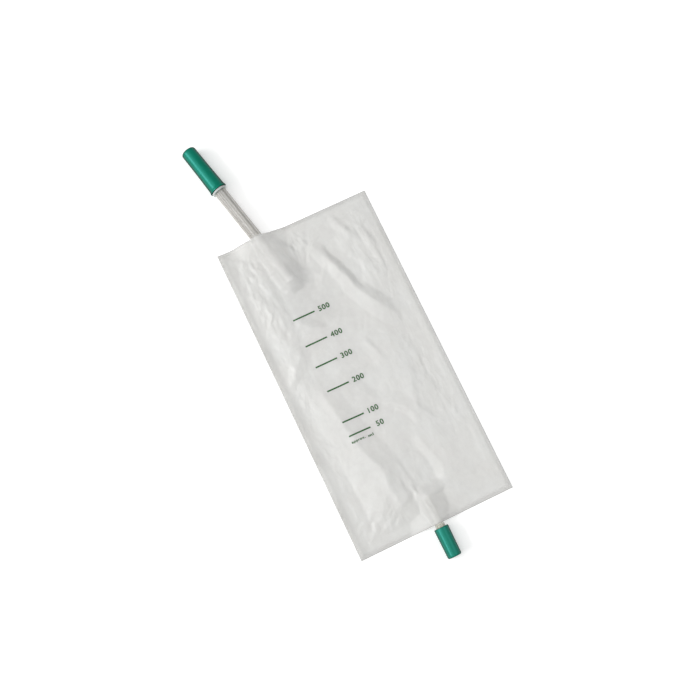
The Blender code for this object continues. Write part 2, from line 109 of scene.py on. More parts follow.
def makeCamera():
    look = Vector(cameraView["look"]).normalized()
    right = look.cross(Vector(cameraView["up"])).normalized()
    up = right.cross(look)
    camera = bpy.data.objects.new("camera", bpy.data.cameras.new("camera"))
    bpy.context.scene.collection.objects.link(camera)
    turn = Matrix((right, up, -look)).transposed().to_4x4()
    camera.matrix_world = Matrix.Translation(cameraView["place"]) @ turn
    camera.data.lens = cameraView["lens"]
    camera.data.sensor_width = 36.0
    camera.data.clip_start = 0.01
    bpy.context.scene.camera = camera


def makeLamp(name):
    data = bpy.data.lights.new(name, "AREA")
    data.shape = "RECTANGLE"  # the strip stands low beside the bag, its long side along Y
    data.size, data.size_y = studio[name + "Size"]
    data.energy = studio[name + "Power"]
    lamp = bpy.data.objects.new(name + "Lamp", data)
    bpy.context.scene.collection.objects.link(lamp)
    lamp.location = studio[name + "Place"]
    lamp.rotation_mode = "QUATERNION"
    lamp.rotation_quaternion = (-lamp.location).to_track_quat("-Z", "Y")


def seenStraight(tree):
    path = addNode(tree, "ShaderNodeLightPath")
    first = addNode(
        tree,
        "ShaderNodeMath",
        {"operation": "MAXIMUM"},
        links={0: path.outputs["Is Camera Ray"], 1: path.outputs["Is Glossy Ray"]},
    )
    return addNode(
        tree,
        "ShaderNodeMath",
        {"operation": "MAXIMUM"},
        links={0: first, 1: path.outputs["Is Transmission Ray"]},
    )


def makeStudio():
    scene = bpy.context.scene
    scene.view_settings.view_transform = "Standard"
    scene.cycles.transparent_max_bounces = 24  # films, valve leaves and a tube lie on each other

    world = bpy.data.worlds.new("studio")
    scene.world = world
    world.use_nodes = True
    tree = world.node_tree
    tree.nodes.clear()
    soft = addNode(
        tree,
        "ShaderNodeBackground",
        inputs={"Color": toLinear(studio["worldColour"]), "Strength": studio["worldStrength"]},
    )
    white = addNode(tree, "ShaderNodeBackground", inputs={"Color": (1, 1, 1, 1), "Strength": 1.0})
    path = addNode(tree, "ShaderNodeLightPath")
    mix = addNode(tree, "ShaderNodeMixShader", links={0: path.outputs["Is Camera Ray"], 1: soft, 2: white})
    addNode(tree, "ShaderNodeOutputWorld", links={"Surface": mix})

    bm = bmesh.new()
    bmesh.ops.create_grid(bm, x_segments=1, y_segments=1, size=studio["floorSize"] / 2)
    mesh = bpy.data.meshes.new("floor")
    bm.to_mesh(mesh)
    bm.free()
    floor = bpy.data.objects.new("floor", mesh)
    floor.location.z = -0.00005  # a hair under the back film
    scene.collection.objects.link(floor)
    material, tree, shader, where = startMaterial("white laminate table")  # matt, a plain even white
    # the table runs into the white background, where the lamps no longer reach
    away = addNode(tree, "ShaderNodeVectorMath", {"operation": "LENGTH"}, links={0: where})
    fade = addNode(
        tree,
        "ShaderNodeMapRange",
        {"interpolation_type": "SMOOTHSTEP"},
        {
            "From Min": studio["glowReach"][0],
            "From Max": studio["glowReach"][1],
            "To Min": studio["floorGlow"][0],
            "To Max": studio["floorGlow"][1],
        },
        {"Value": away.outputs["Value"]},
    )
    glow = addNode(
        tree, "ShaderNodeMath", {"operation": "MULTIPLY"}, links={0: seenStraight(tree), 1: fade}
    )
    matt = {"Base Color": toLinear(studio["floorColour"]), "Roughness": 0.9, "Specular IOR Level": 0.0}
    feed(tree, shader, {**matt, "Emission Color": (1, 1, 1, 1)}, {"Emission Strength": glow})
    mesh.materials.append(material)


makeCamera()
makeStudio()
for lampName in ("key", "strip", "fill"):
    makeLamp(lampName)
print("camera and studio made")


# materials; a pattern's Scale is one over its size in metres

pvcIor = 1.53

pvcFilm = {
    "colours": ("#E9E8E5", "#F0F0EE"),
    "alpha": (0.30, 0.38),
    "weldAlpha": 0.42,
    # painted shade: a greyer film colour along the left edge and just inside the weld
    "paintedEdgeShadeColour": "#D6D5D2",
    "roughness": (0.28, 0.40),
    "gloss": 0.55,
    "coat": 0.25,
    "coatRoughness": 0.22,
    "cloudMm": 22,
    "peelMm": 1.6,
    "peelStrength": 0.10,
    "knurlMm": 1.1,
    "knurlStrength": 0.1,
    "crinkleMm": 4.0,
    "crinkleDepthMm": 1.2,
    "crinkleBendMm": 9,
    "crinklePushMm": 6,
    "crinkleTurn": 0.2,
    "crinkleStretch": 0.45,
    "clingShare": 0.87,
    "lightThrough": 0.18,
}


def makeFilmMaterial(name, alphaShare):
    # flexible PVC film, calendered: clear but hazy, with a soft gloss that breaks up on its creases
    s = pvcFilm
    material, tree, shader, where = startMaterial(name)
    cloud = addNode(
        tree,
        "ShaderNodeTexNoise",
        inputs={"Scale": 1 / (s["cloudMm"] * mm), "Detail": 4.0},
        links={"Vector": where},
    )
    haze = addNode(
        tree,
        "ShaderNodeMapRange",
        inputs={"From Min": 0.3, "From Max": 0.7},
        links={"Value": cloud.outputs["Fac"]},
    )
    colour = addNode(
        tree,
        "ShaderNodeMix",
        {"data_type": "RGBA"},
        {6: toLinear(s["colours"][0]), 7: toLinear(s["colours"][1])},
        {0: haze},
    )
    # painted shade: the film is darkened along the left edge and just inside the weld
    paintedEdgeShade = addNode(tree, "ShaderNodeAttribute", {"attribute_name": "paintedEdgeShade"})
    colour = addNode(
        tree,
        "ShaderNodeMix",
        {"data_type": "RGBA"},
        {7: toLinear(s["paintedEdgeShadeColour"])},
        {0: paintedEdgeShade.outputs["Fac"], 6: colour.outputs[2]},
    )
    rough = addNode(
        tree,
        "ShaderNodeMapRange",
        inputs={"To Min": s["roughness"][0], "To Max": s["roughness"][1]},
        links={"Value": haze},
    )
    weld = addNode(tree, "ShaderNodeAttribute", {"attribute_name": "weld"})
    clear = addNode(
        tree,
        "ShaderNodeMapRange",
        inputs={"To Min": s["alpha"][0] * alphaShare, "To Max": s["alpha"][1] * alphaShare},
        links={"Value": haze},
    )
    alpha = addNode(
        tree,
        "ShaderNodeMix",
        {"data_type": "FLOAT"},
        {3: s["weldAlpha"] * alphaShare},
        {0: weld.outputs["Fac"], 2: clear},
    )
    # where it clings to a tube it looks clearer
    cling = addNode(tree, "ShaderNodeAttribute", {"attribute_name": "cling"})
    kept = addNode(
        tree,
        "ShaderNodeMapRange",
        inputs={"To Min": 1.0, "To Max": s["clingShare"]},
        links={"Value": cling.outputs["Fac"]},
    )
    alpha = addNode(tree, "ShaderNodeMath", {"operation": "MULTIPLY"}, links={0: alpha, 1: kept})

    # a faint orange peel from the rolls
    peel = addNode(
        tree,
        "ShaderNodeTexNoise",
        inputs={"Scale": 1 / (s["peelMm"] * mm), "Detail": 2.0},
        links={"Vector": where},
    )
    peelBump = addNode(
        tree,
        "ShaderNodeBump",
        inputs={"Strength": s["peelStrength"], "Distance": 0.1 * mm},
        links={"Height": peel.outputs["Fac"]},
    )
    # small flat facets with crisp edges, where handling crinkled the film
    crinkled = addNode(tree, "ShaderNodeAttribute", {"attribute_name": "crinkled"})
    bent = addNode(
        tree,
        "ShaderNodeTexNoise",
        inputs={"Scale": 1 / (s["crinkleBendMm"] * mm), "Detail": 2.0},
        links={"Vector": where},
    )
    pushed = addNode(
        tree,
        "ShaderNodeVectorMath",
        {"operation": "MULTIPLY_ADD"},
        {1: (s["crinklePushMm"] * mm, s["crinklePushMm"] * mm, 0)},
        {0: bent.outputs["Color"], 2: where},
    )
    stretched = addNode(
        tree,
        "ShaderNodeMapping",
        inputs={"Rotation": (0, 0, s["crinkleTurn"]), "Scale": (1, s["crinkleStretch"], 0)},
        links={"Vector": pushed},
    )
    facets = addNode(
        tree,
        "ShaderNodeTexVoronoi",
        {"feature": "F1"},
        {"Scale": 1 / (s["crinkleMm"] * mm)},
        {"Vector": stretched},
    )
    facetBump = addNode(
        tree,
        "ShaderNodeBump",
        inputs={"Distance": s["crinkleDepthMm"] * mm},
        links={
            "Height": facets.outputs["Distance"],
            "Strength": crinkled.outputs["Fac"],
            "Normal": peelBump,
        },
    )
    # crossed ribs that the sealing bar leaves in the weld; a Wave's Scale is 0.314 over its period
    ribs = []
    for angle in (45, -45):
        across = addNode(
            tree,
            "ShaderNodeMapping",
            inputs={"Rotation": (0, 0, math.radians(angle))},
            links={"Vector": where},
        )
        ribs.append(
            addNode(
                tree,
                "ShaderNodeTexWave",
                {"wave_type": "BANDS", "bands_direction": "X"},
                {"Scale": 0.314 / (s["knurlMm"] * mm)},
                {"Vector": across},
            )
        )
    knurl = addNode(
        tree,
        "ShaderNodeMath",
        {"operation": "MULTIPLY"},
        links={0: ribs[0].outputs["Fac"], 1: ribs[1].outputs["Fac"]},
    )
    pressed = addNode(
        tree, "ShaderNodeMath", {"operation": "MULTIPLY"}, links={0: knurl, 1: weld.outputs["Fac"]}
    )
    bump = addNode(
        tree,
        "ShaderNodeBump",
        inputs={"Strength": s["knurlStrength"], "Distance": 0.3 * mm},
        links={"Height": pressed, "Normal": facetBump},
    )
    feed(
        tree,
        shader,
        {
            "IOR": pvcIor,
            "Specular IOR Level": s["gloss"],
            "Coat Weight": s["coat"],
            "Coat Roughness": s["coatRoughness"],
        },
        {"Base Color": colour.outputs[2], "Roughness": rough, "Normal": bump},
    )
    # a share of the light scatters through, and the clear part shows what is behind
    lit = addNode(tree, "ShaderNodeBsdfTranslucent", links={"Color": colour.outputs[2], "Normal": bump})
    body = addNode(tree, "ShaderNodeMixShader", inputs={0: s["lightThrough"]}, links={1: shader, 2: lit})
    behind = addNode(tree, "ShaderNodeBsdfTransparent")
    whole = addNode(tree, "ShaderNodeMixShader", links={0: alpha, 1: behind, 2: body})
    feed(tree, tree.get_output_node("ALL"), links={"Surface": whole})
    return material


pvcTube = {
    "roughness": (0.22, 0.32),
    "gloss": 0.35,
    "cloudMm": 9,
    "streakMm": 1.7,
    "streakFrom": (0.42, 0.62),
    "alpha": (0.34, 0.48),
    "coveredAlpha": 0.05,
    "edgeFrom": (0.24, 0.72),
    "edgeAlpha": 0.84,
    "edgeColour": "#BDB8B0",
}


def makeTubeMaterial(name, colours):
    # extruded clear soft PVC: glassy, so its wall shows as darker lines at its edges and its bore's
    s = pvcTube
    material, tree, shader, where = startMaterial(name)
    cloud = addNode(
        tree,
        "ShaderNodeTexNoise",
        inputs={"Scale": 1 / (s["cloudMm"] * mm), "Detail": 3.0},
        links={"Vector": where},
    )
    haze = addNode(
        tree,
        "ShaderNodeMapRange",
        inputs={"From Min": 0.3, "From Max": 0.7},
        links={"Value": cloud.outputs["Fac"]},
    )
    # painted reflection streaks: fine lines along the tube, lighter and darker at random
    local = addNode(tree, "ShaderNodeAttribute", {"attribute_name": "local"})
    alongTube = addNode(
        tree, "ShaderNodeMapping", inputs={"Scale": (1, 1, 0.01)}, links={"Vector": local.outputs["Vector"]}
    )
    lines = addNode(
        tree,
        "ShaderNodeTexNoise",
        inputs={"Scale": 1 / (s["streakMm"] * mm), "Detail": 2.0},
        links={"Vector": alongTube},
    )
    streak = addNode(
        tree,
        "ShaderNodeMapRange",
        {"interpolation_type": "SMOOTHSTEP"},
        {"From Min": s["streakFrom"][0], "From Max": s["streakFrom"][1]},
        {"Value": lines.outputs["Fac"]},
    )
    clear = addNode(
        tree,
        "ShaderNodeMix",
        {"data_type": "RGBA"},
        {6: toLinear(colours[0]), 7: toLinear(colours[1])},
        {0: streak},
    )
    turnedAway = addNode(tree, "ShaderNodeLayerWeight", inputs={"Blend": 0.5})
    edge = addNode(
        tree,
        "ShaderNodeMapRange",
        {"interpolation_type": "SMOOTHSTEP"},
        {"From Min": s["edgeFrom"][0], "From Max": s["edgeFrom"][1]},
        {"Value": turnedAway.outputs["Facing"]},
    )
    colour = addNode(
        tree,
        "ShaderNodeMix",
        {"data_type": "RGBA"},
        {7: toLinear(s["edgeColour"])},
        {0: edge, 6: clear.outputs[2]},
    )
    wall = addNode(
        tree,
        "ShaderNodeMapRange",
        inputs={"To Min": s["alpha"][0], "To Max": s["alpha"][1]},
        links={"Value": streak},
    )
    bare = addNode(tree, "ShaderNodeMix", {"data_type": "FLOAT"}, {3: s["edgeAlpha"]}, {0: edge, 2: wall})
    # the films cling to the part inside the bag, so little of it shows
    covered = addNode(tree, "ShaderNodeAttribute", {"attribute_name": "covered"})
    alpha = addNode(
        tree,
        "ShaderNodeMix",
        {"data_type": "FLOAT"},
        {3: s["coveredAlpha"]},
        {0: covered.outputs["Fac"], 2: bare},
    )
    rough = addNode(
        tree,
        "ShaderNodeMapRange",
        inputs={"To Min": s["roughness"][0], "To Max": s["roughness"][1]},
        links={"Value": haze},
    )
    gloss = addNode(
        tree,
        "ShaderNodeMapRange",
        inputs={"To Min": s["gloss"], "To Max": 0.0},
        links={"Value": covered.outputs["Fac"]},
    )
    look = {"Base Color": colour.outputs[2], "Alpha": alpha, "Roughness": rough}
    feed(tree, shader, {"IOR": pvcIor}, {**look, "Specular IOR Level": gloss})
    return material


pvcCap = {
    "swirlMm": 6,
    "grainMm": 0.6,
    "grainStrength": 0.03,
    "roughness": (0.33, 0.42),
    "gloss": (0.75, 0.05),
    "glossTint": "#84FFFA",
    "shadedRimFrom": (0.26, 0.66),
}


def makeCapMaterial(name, colours):
    # soft moulded PVC, dyed green: an even satin skin with slight swirls and a fine grain
    s = pvcCap
    material, tree, shader, where = startMaterial(name)
    swirl = addNode(
        tree,
        "ShaderNodeTexNoise",
        inputs={"Scale": 1 / (s["swirlMm"] * mm), "Detail": 4.0, "Distortion": 0.6},
        links={"Vector": where},
    )
    even = addNode(
        tree,
        "ShaderNodeMapRange",
        inputs={"From Min": 0.3, "From Max": 0.7},
        links={"Value": swirl.outputs["Fac"]},
    )
    colour = addNode(
        tree,
        "ShaderNodeMix",
        {"data_type": "RGBA"},
        {6: toLinear(colours[0]), 7: toLinear(colours[1])},
        {0: even},
    )
    rough = addNode(
        tree,
        "ShaderNodeMapRange",
        inputs={"To Min": s["roughness"][0], "To Max": s["roughness"][1]},
        links={"Value": even},
    )
    # painted shade: the colour darkens where the skin turns away, standing in for darker surroundings
    # reflected there; the gloss falls there too, so it reflects less of the pale table
    turnedAway = addNode(tree, "ShaderNodeLayerWeight", inputs={"Blend": 0.5})
    shadedRim = addNode(
        tree,
        "ShaderNodeMapRange",
        {"interpolation_type": "SMOOTHSTEP"},
        {"From Min": s["shadedRimFrom"][0], "From Max": s["shadedRimFrom"][1]},
        {"Value": turnedAway.outputs["Facing"]},
    )
    paintedRimShade = addNode(
        tree,
        "ShaderNodeMix",
        {"data_type": "RGBA"},
        {7: toLinear(colours[2])},
        {0: shadedRim, 6: colour.outputs[2]},
    )
    gloss = addNode(
        tree,
        "ShaderNodeMapRange",
        inputs={"To Min": s["gloss"][0], "To Max": s["gloss"][1]},
        links={"Value": shadedRim},
    )
    grain = addNode(
        tree,
        "ShaderNodeTexNoise",
        inputs={"Scale": 1 / (s["grainMm"] * mm), "Detail": 2.0},
        links={"Vector": where},
    )
    bump = addNode(
        tree,
        "ShaderNodeBump",
        inputs={"Strength": s["grainStrength"], "Distance": 0.1 * mm},
        links={"Height": grain.outputs["Fac"]},
    )
    look = {"Base Color": paintedRimShade.outputs[2], "Roughness": rough, "Normal": bump}
    feed(
        tree,
        shader,
        {"IOR": pvcIor, "Specular Tint": toLinear(s["glossTint"])},
        {**look, "Specular IOR Level": gloss},
    )
    return material


naturalPp = {
    "colours": ("#EEF1EF", "#E2E6E3"),
    "cloudMm": 4,
    "roughness": (0.26, 0.38),
    "alpha": 0.6,
    "inTubeAlpha": 0.04,
    "ior": 1.49,
}


def makeConnectorMaterial():
    # natural polypropylene, injection moulded: milky white with a soft gloss
    s = naturalPp
    material, tree, shader, where = startMaterial("natural polypropylene")
    cloud = addNode(
        tree,
        "ShaderNodeTexNoise",
        inputs={"Scale": 1 / (s["cloudMm"] * mm), "Detail": 3.0},
        links={"Vector": where},
    )
    colour = addNode(
        tree,
        "ShaderNodeMix",
        {"data_type": "RGBA"},
        {6: toLinear(s["colours"][0]), 7: toLinear(s["colours"][1])},
        {0: cloud.outputs["Fac"]},
    )
    rough = addNode(
        tree,
        "ShaderNodeMapRange",
        inputs={"To Min": s["roughness"][0], "To Max": s["roughness"][1]},
        links={"Value": cloud.outputs["Fac"]},
    )
    inTube = addNode(tree, "ShaderNodeAttribute", {"attribute_name": "inTube"})
    alpha = addNode(
        tree,
        "ShaderNodeMapRange",
        inputs={"To Min": s["alpha"], "To Max": s["inTubeAlpha"]},
        links={"Value": inTube.outputs["Fac"]},
    )
    look = {"Base Color": colour.outputs[2], "Alpha": alpha, "Roughness": rough}
    feed(tree, shader, {"IOR": s["ior"]}, look)
    return material


screenInk = {
    "colours": ("#1C501C", "#285E27"),
    "patchMm": 1.2,
    "alpha": (0.82, 0.96),
    "roughness": 0.5,
    "gloss": 0.3,
}


def makeInkMaterial():
    # screen-printed vinyl ink: thin, nearly matt, a little uneven where the film creased
    s = screenInk
    material, tree, shader, where = startMaterial("green screen ink")
    patchy = addNode(
        tree,
        "ShaderNodeTexNoise",
        inputs={"Scale": 1 / (s["patchMm"] * mm), "Detail": 4.0},
        links={"Vector": where},
    )
    colour = addNode(
        tree,
        "ShaderNodeMix",
        {"data_type": "RGBA"},
        {6: toLinear(s["colours"][0]), 7: toLinear(s["colours"][1])},
        {0: patchy.outputs["Fac"]},
    )
    thin = addNode(
        tree,
        "ShaderNodeMapRange",
        inputs={
            "From Min": 0.3,
            "From Max": 0.7,
            "To Min": s["alpha"][0],
            "To Max": s["alpha"][1],
        },
        links={"Value": patchy.outputs["Fac"]},
    )
    feed(
        tree,
        shader,
        {"Roughness": s["roughness"], "Specular IOR Level": s["gloss"]},
        {"Base Color": colour.outputs[2], "Alpha": thin},
    )
    return material


# each film has a share of the alpha above
filmFrontMaterial = makeFilmMaterial("flexible PVC film front", 1.15)
filmBackMaterial = makeFilmMaterial("flexible PVC film back", 0.75)
leafMaterial = makeFilmMaterial("thin PVC film valve", 0.06)
# each tube's second colour is the darker tone of its painted reflection streaks
inletTubeMaterial = makeTubeMaterial("clear PVC tube inlet", ("#E0DED9", "#9A968F"))
outletTubeMaterial = makeTubeMaterial("clear PVC tube outlet", ("#CFCDBC", "#B2B09C"))
connectorMaterial = makeConnectorMaterial()
# each cap's third colour is the painted shade at its rim
inletCapMaterial = makeCapMaterial("green soft PVC inlet cap", ("#006C53", "#00745D", "#003A2C"))
outletCapMaterial = makeCapMaterial("green soft PVC outlet cap", ("#0E6A54", "#15725D", "#07463A"))
inkMaterial = makeInkMaterial()
print("materials made")


def keepMesh(name, bm, material, body, replaces=()):
    mesh = bpy.data.meshes.new(name)
    bm.to_mesh(mesh)
    bm.free()
    mesh.materials.append(material)
    mesh.shade_smooth()
    piece = bpy.data.objects.new(name, mesh)
    bpy.context.scene.collection.objects.link(piece)
    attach(piece, body)
    if replaces:
        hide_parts(*replaces)
    return piece


# turned pieces

# where each tube crosses the bag's edge, how high it lies and how far it runs to both sides, in mm
inletAxis = {
    "edge": (-28.0, 122.0),
    "lean": 12.9,
    "innerHeight": 5.5,
    "mouthHeight": 6.7,
    "inside": 38.0,
    "outside": 43.5,
}
outletAxis = {"edge": (0.6, -122.0), "height": 5.4, "inside": 20.0, "outside": 20.0}
turnSteps = 96
sharpAngle = math.radians(35)  # a ring that bends more than this is rounded


def inletMatrix():
    length = inletAxis["inside"] + inletAxis["outside"]
    slope = (inletAxis["mouthHeight"] - inletAxis["innerHeight"]) / length
    lean = math.radians(inletAxis["lean"])
    way = Vector((-math.sin(lean), math.cos(lean), slope))
    height = inletAxis["innerHeight"] + inletAxis["inside"] * slope
    place = Vector((*inletAxis["edge"], height)) * mm
    return Matrix.Translation(place) @ way.to_track_quat("Z", "Y").to_matrix().to_4x4()


def outletMatrix():
    place = Vector((*outletAxis["edge"], outletAxis["height"])) * mm
    return Matrix.Translation(place) @ Vector((0, -1, 0)).to_track_quat("Z", "Y").to_matrix().to_4x4()


def turned(profile, closed=True, rounding=0.0):
    # spins a profile of (radius, height) in mm about Z and rounds its sharp rings
    bm = bmesh.new()
    corners = [bm.verts.new((r * mm, 0, h * mm)) for r, h in profile]
    edges = [bm.edges.new(pair) for pair in zip(corners, corners[1:])]
    if closed:
        edges.append(bm.edges.new((corners[-1], corners[0])))
    bmesh.ops.spin(
        bm,
        geom=[*corners, *edges],
        cent=(0, 0, 0),
        axis=(0, 0, 1),
        angle=2 * math.pi,
        steps=turnSteps,
        use_merge=True,
    )
    bmesh.ops.remove_doubles(bm, verts=bm.verts[:], dist=1e-7)
    bmesh.ops.dissolve_degenerate(bm, dist=1e-8, edges=bm.edges[:])
    bmesh.ops.recalc_face_normals(bm, faces=bm.faces[:])
    if rounding:
        sharp = [e for e in bm.edges if len(e.link_faces) == 2 and e.calc_face_angle() > sharpAngle]
        bmesh.ops.bevel(
            bm,
            geom=sharp,
            offset=rounding * mm,
            segments=3,
            affect="EDGES",
            profile=0.5,
            material=-1,
            clamp_overlap=True,
        )
    return bm


def markTube(bm):
    # each corner's place before the tube is laid down, for lines along it, and whether it is in the bag
    local = bm.verts.layers.float_vector.new("local")
    covered = bm.verts.layers.float.new("covered")
    for corner in bm.verts:
        corner[local] = corner.co
        corner[covered] = min(max(0.5 - corner.co.z / (2 * mm), 0), 1)


tubeSizes = {
    "inlet": {"outer": 9.0, "bore": 6.0, "rings": 40, "rounding": 0.25},
    "outlet": {"outer": 7.0, "bore": 5.0, "rings": 20, "rounding": 0.2},
}


def makeTube(side, axis, place, material):
    s = tubeSizes[side]
    low, high = -axis["inside"], axis["outside"]
    heights = [low + (high - low) * i / s["rings"] for i in range(s["rings"] + 1)]
    profile = [(s["outer"] / 2, h) for h in reversed(heights)] + [(s["bore"] / 2, h) for h in heights]
    bm = turned(profile, rounding=s["rounding"])
    markTube(bm)
    bm.transform(place)
    keepMesh(side + "Tube", bm, material, "bag", [side + "_tube"])


connectorSizes = {
    "nozzle": 32.0,
    "base": 9.0,
    "tip": 6.4,
    "steps": 4,
    "stepDepth": 0.4,
    "collar": 11.8,
    "collarHeight": 1.4,
    "spigot": 14.0,
    "spigotOuter": 5.4,
    "spigotTaper": 0.3,
    "bore": 3.6,
    "gap": 0.3,
}


def nozzleRadius(height):
    s = connectorSizes
    return (s["base"] + (s["tip"] - s["base"]) * height / s["nozzle"]) / 2


def makeConnector():
    s = connectorSizes
    step = s["nozzle"] / s["steps"]
    profile = [(s["bore"] / 2, s["nozzle"]), (nozzleRadius(s["nozzle"]) - s["stepDepth"], s["nozzle"])]
    for i in reversed(range(s["steps"])):
        # a step: widest near its foot, drawn in at both ends
        low, high = i * step, (i + 1) * step
        profile += [
            (nozzleRadius(high - 0.25 * step), high - 0.25 * step),
            (nozzleRadius(low + 0.4 * step), low + 0.4 * step),
            (nozzleRadius(low) - s["stepDepth"], low),
        ]
    profile += [
        (s["collar"] / 2, 0),
        (s["collar"] / 2, -s["collarHeight"]),
        (s["spigotOuter"] / 2, -s["collarHeight"]),
        (s["spigotOuter"] / 2 - s["spigotTaper"], -s["collarHeight"] - s["spigot"]),
        (s["bore"] / 2, -s["collarHeight"] - s["spigot"]),
    ]
    bm = turned(profile, rounding=0.2)
    inTube = bm.verts.layers.float.new("inTube")  # the spigot, wetted by the tube's wall, is hard to see
    for corner in bm.verts:
        low = corner.co.z < 0.25 * mm - s["collarHeight"] * mm
        narrow = corner.co.xy.length < (s["spigotOuter"] / 2 + 0.3) * mm
        corner[inTube] = 1.0 if low and narrow else 0.0
    foot = inletAxis["outside"] + s["gap"] + s["collarHeight"]
    bm.transform(inletMatrix() @ Matrix.Translation((0, 0, foot * mm)))
    keepMesh("inletConnector", bm, connectorMaterial, "bag", ["inlet_connector"])


inletCapSizes = {
    "length": 38.0,
    "mouth": 12.4,
    "end": 11.4,
    "endRound": 2.2,
    "sink": 0.10,
    "flare": 3.2,
    "lip": 13.4,
    "lipHeight": 0.7,
    "lipRound": 0.25,
    "boreGap": 0.3,
    "chamfer": 0.3,
    "gap": 0.3,
}
outletCapSizes = {
    "length": 22.4,
    "mouth": 10.8,
    "mouthRound": 0.5,
    "end": 10.4,
    "endRound": 1.3,
    "bore": 7.6,
    "depth": 17.3,
    "tubeShown": 3.0,
}


def quarterRound(radius, height, size, firstAngle, steps=8):
    turns = [math.radians(firstAngle - 90 * i / steps) for i in range(steps + 1)]
    return [(radius + size * math.cos(t), height + size * math.sin(t)) for t in turns]


def makeInletCap():
    s = inletCapSizes
    mouth, end, lip = s["mouth"] / 2, s["end"] / 2, s["lip"] / 2
    profile = [(0, s["length"])]
    profile += quarterRound(end - s["endRound"], s["length"] - s["endRound"], s["endRound"], 90)
    sideTop, sideLow = s["length"] - s["endRound"], s["flare"]
    for i in range(1, 16):
        share = i / 16
        # the wall sinks a little halfway, where the nozzle ends inside
        sink = s["sink"] * math.sin(math.pi * share)
        profile.append((end + (mouth - end) * share - sink, sideTop + (sideLow - sideTop) * share))
    for i in range(9):
        share = 1 - i / 8
        height = s["lipHeight"] + (s["flare"] - s["lipHeight"]) * share
        profile.append((mouth + (lip - mouth) * (1 - share) ** 2, height))
    profile += quarterRound(lip - s["lipRound"], s["lipRound"], s["lipRound"], 0, 4)
    # the bore follows the nozzle with a small gap and widens at its mouth
    nozzle = connectorSizes["nozzle"]
    wide, narrow = nozzleRadius(0) + s["boreGap"], nozzleRadius(nozzle) + s["boreGap"]
    depth = nozzle + s["boreGap"]
    profile += [(wide + s["chamfer"], 0), (wide, 2 * s["chamfer"])]
    profile += [(narrow, nozzle), (narrow, depth), (0, depth)]
    bm = turned(profile, closed=False)
    collarTop = inletAxis["outside"] + connectorSizes["gap"] + connectorSizes["collarHeight"]
    bm.transform(inletMatrix() @ Matrix.Translation((0, 0, (collarTop + s["gap"]) * mm)))
    keepMesh("inletCap", bm, inletCapMaterial, "inlet_cap", ["inlet_cap"])


def makeOutletCap():
    s = outletCapSizes
    mouth, end = s["mouth"] / 2, s["end"] / 2
    top, low = s["length"] - s["endRound"], s["mouthRound"]
    profile = [(0, s["length"])]
    profile += quarterRound(end - s["endRound"], top, s["endRound"], 90)
    for i in range(1, 8):
        share = i / 8
        profile.append((end + (mouth - end) * share, top + (low - top) * share))
    profile += quarterRound(mouth - s["mouthRound"], s["mouthRound"], s["mouthRound"], 0, 4)
    profile += [(s["bore"] / 2, 0), (s["bore"] / 2, s["depth"]), (0, s["depth"])]
    bm = turned(profile, closed=False)
    bm.transform(outletMatrix() @ Matrix.Translation((0, 0, s["tubeShown"] * mm)))
    keepMesh("outletCap", bm, outletCapMaterial, "outlet_cap", ["outlet_cap"])


makeTube("inlet", inletAxis, inletMatrix(), inletTubeMaterial)
makeTube("outlet", outletAxis, outletMatrix(), outletTubeMaterial)
makeConnector()
makeInletCap()
makeOutletCap()
print("tubes, connector and caps made")


# films

film = {
    "halfWidth": 60.0,
    "halfLength": 122.0,
    "cellsAcross": 136,
    "cellsAlong": 276,
    "thickness": 0.25,
    "seam": 2.4,
    "seamFade": 0.8,
    "tentBlend": 0.5,
    "clearance": 0.15,
    "touch": 0.02,
    "backLift": 0.35,
    "billow": 1.1,
    "waves": (0.9, 0.28),
    "bead": 0.22,
    "foldRise": 1.6,
    "creaseRise": 1.5,
    "flatEdge": 9.0,
    "riseReach": 26.0,
    "wander": 1.8,
    "swell": 0.22,
    "softness": 0.40,
    "creaseSeed": 11,
    "creaseLength": (3, 12),
    "creaseWidth": (1.1, 3.2),
    "creaseSpread": 26,
    "curl": 1.6,
}

